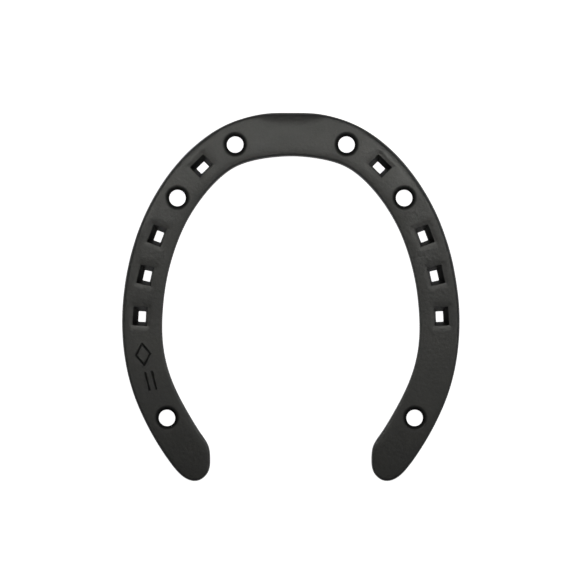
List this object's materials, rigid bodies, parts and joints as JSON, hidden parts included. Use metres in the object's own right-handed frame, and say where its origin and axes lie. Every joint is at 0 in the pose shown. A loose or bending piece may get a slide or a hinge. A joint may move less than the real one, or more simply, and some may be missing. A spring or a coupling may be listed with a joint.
{
  "type": "horseshoe",
  "caption": "Flat plain steel horseshoe with a rolled toe, tapered nail holes and tapped stud holes, nailed under a hoof.",
  "frame": {"origin": "under the middle of the shoe's length and width, on the plane of its hoof side", "axes": "+Z from the hoof side to the ground side, +Y towards the toe, +X across the shoe"},
  "size_m": [0.135, 0.1472, 0.008],
  "materials": {
    "black_forged_steel": "satin black forging scale on mild steel"
  },
  "bodies": {
    "root": {"shoe_forging": "black_forged_steel"}
  },
  "joints": []
}
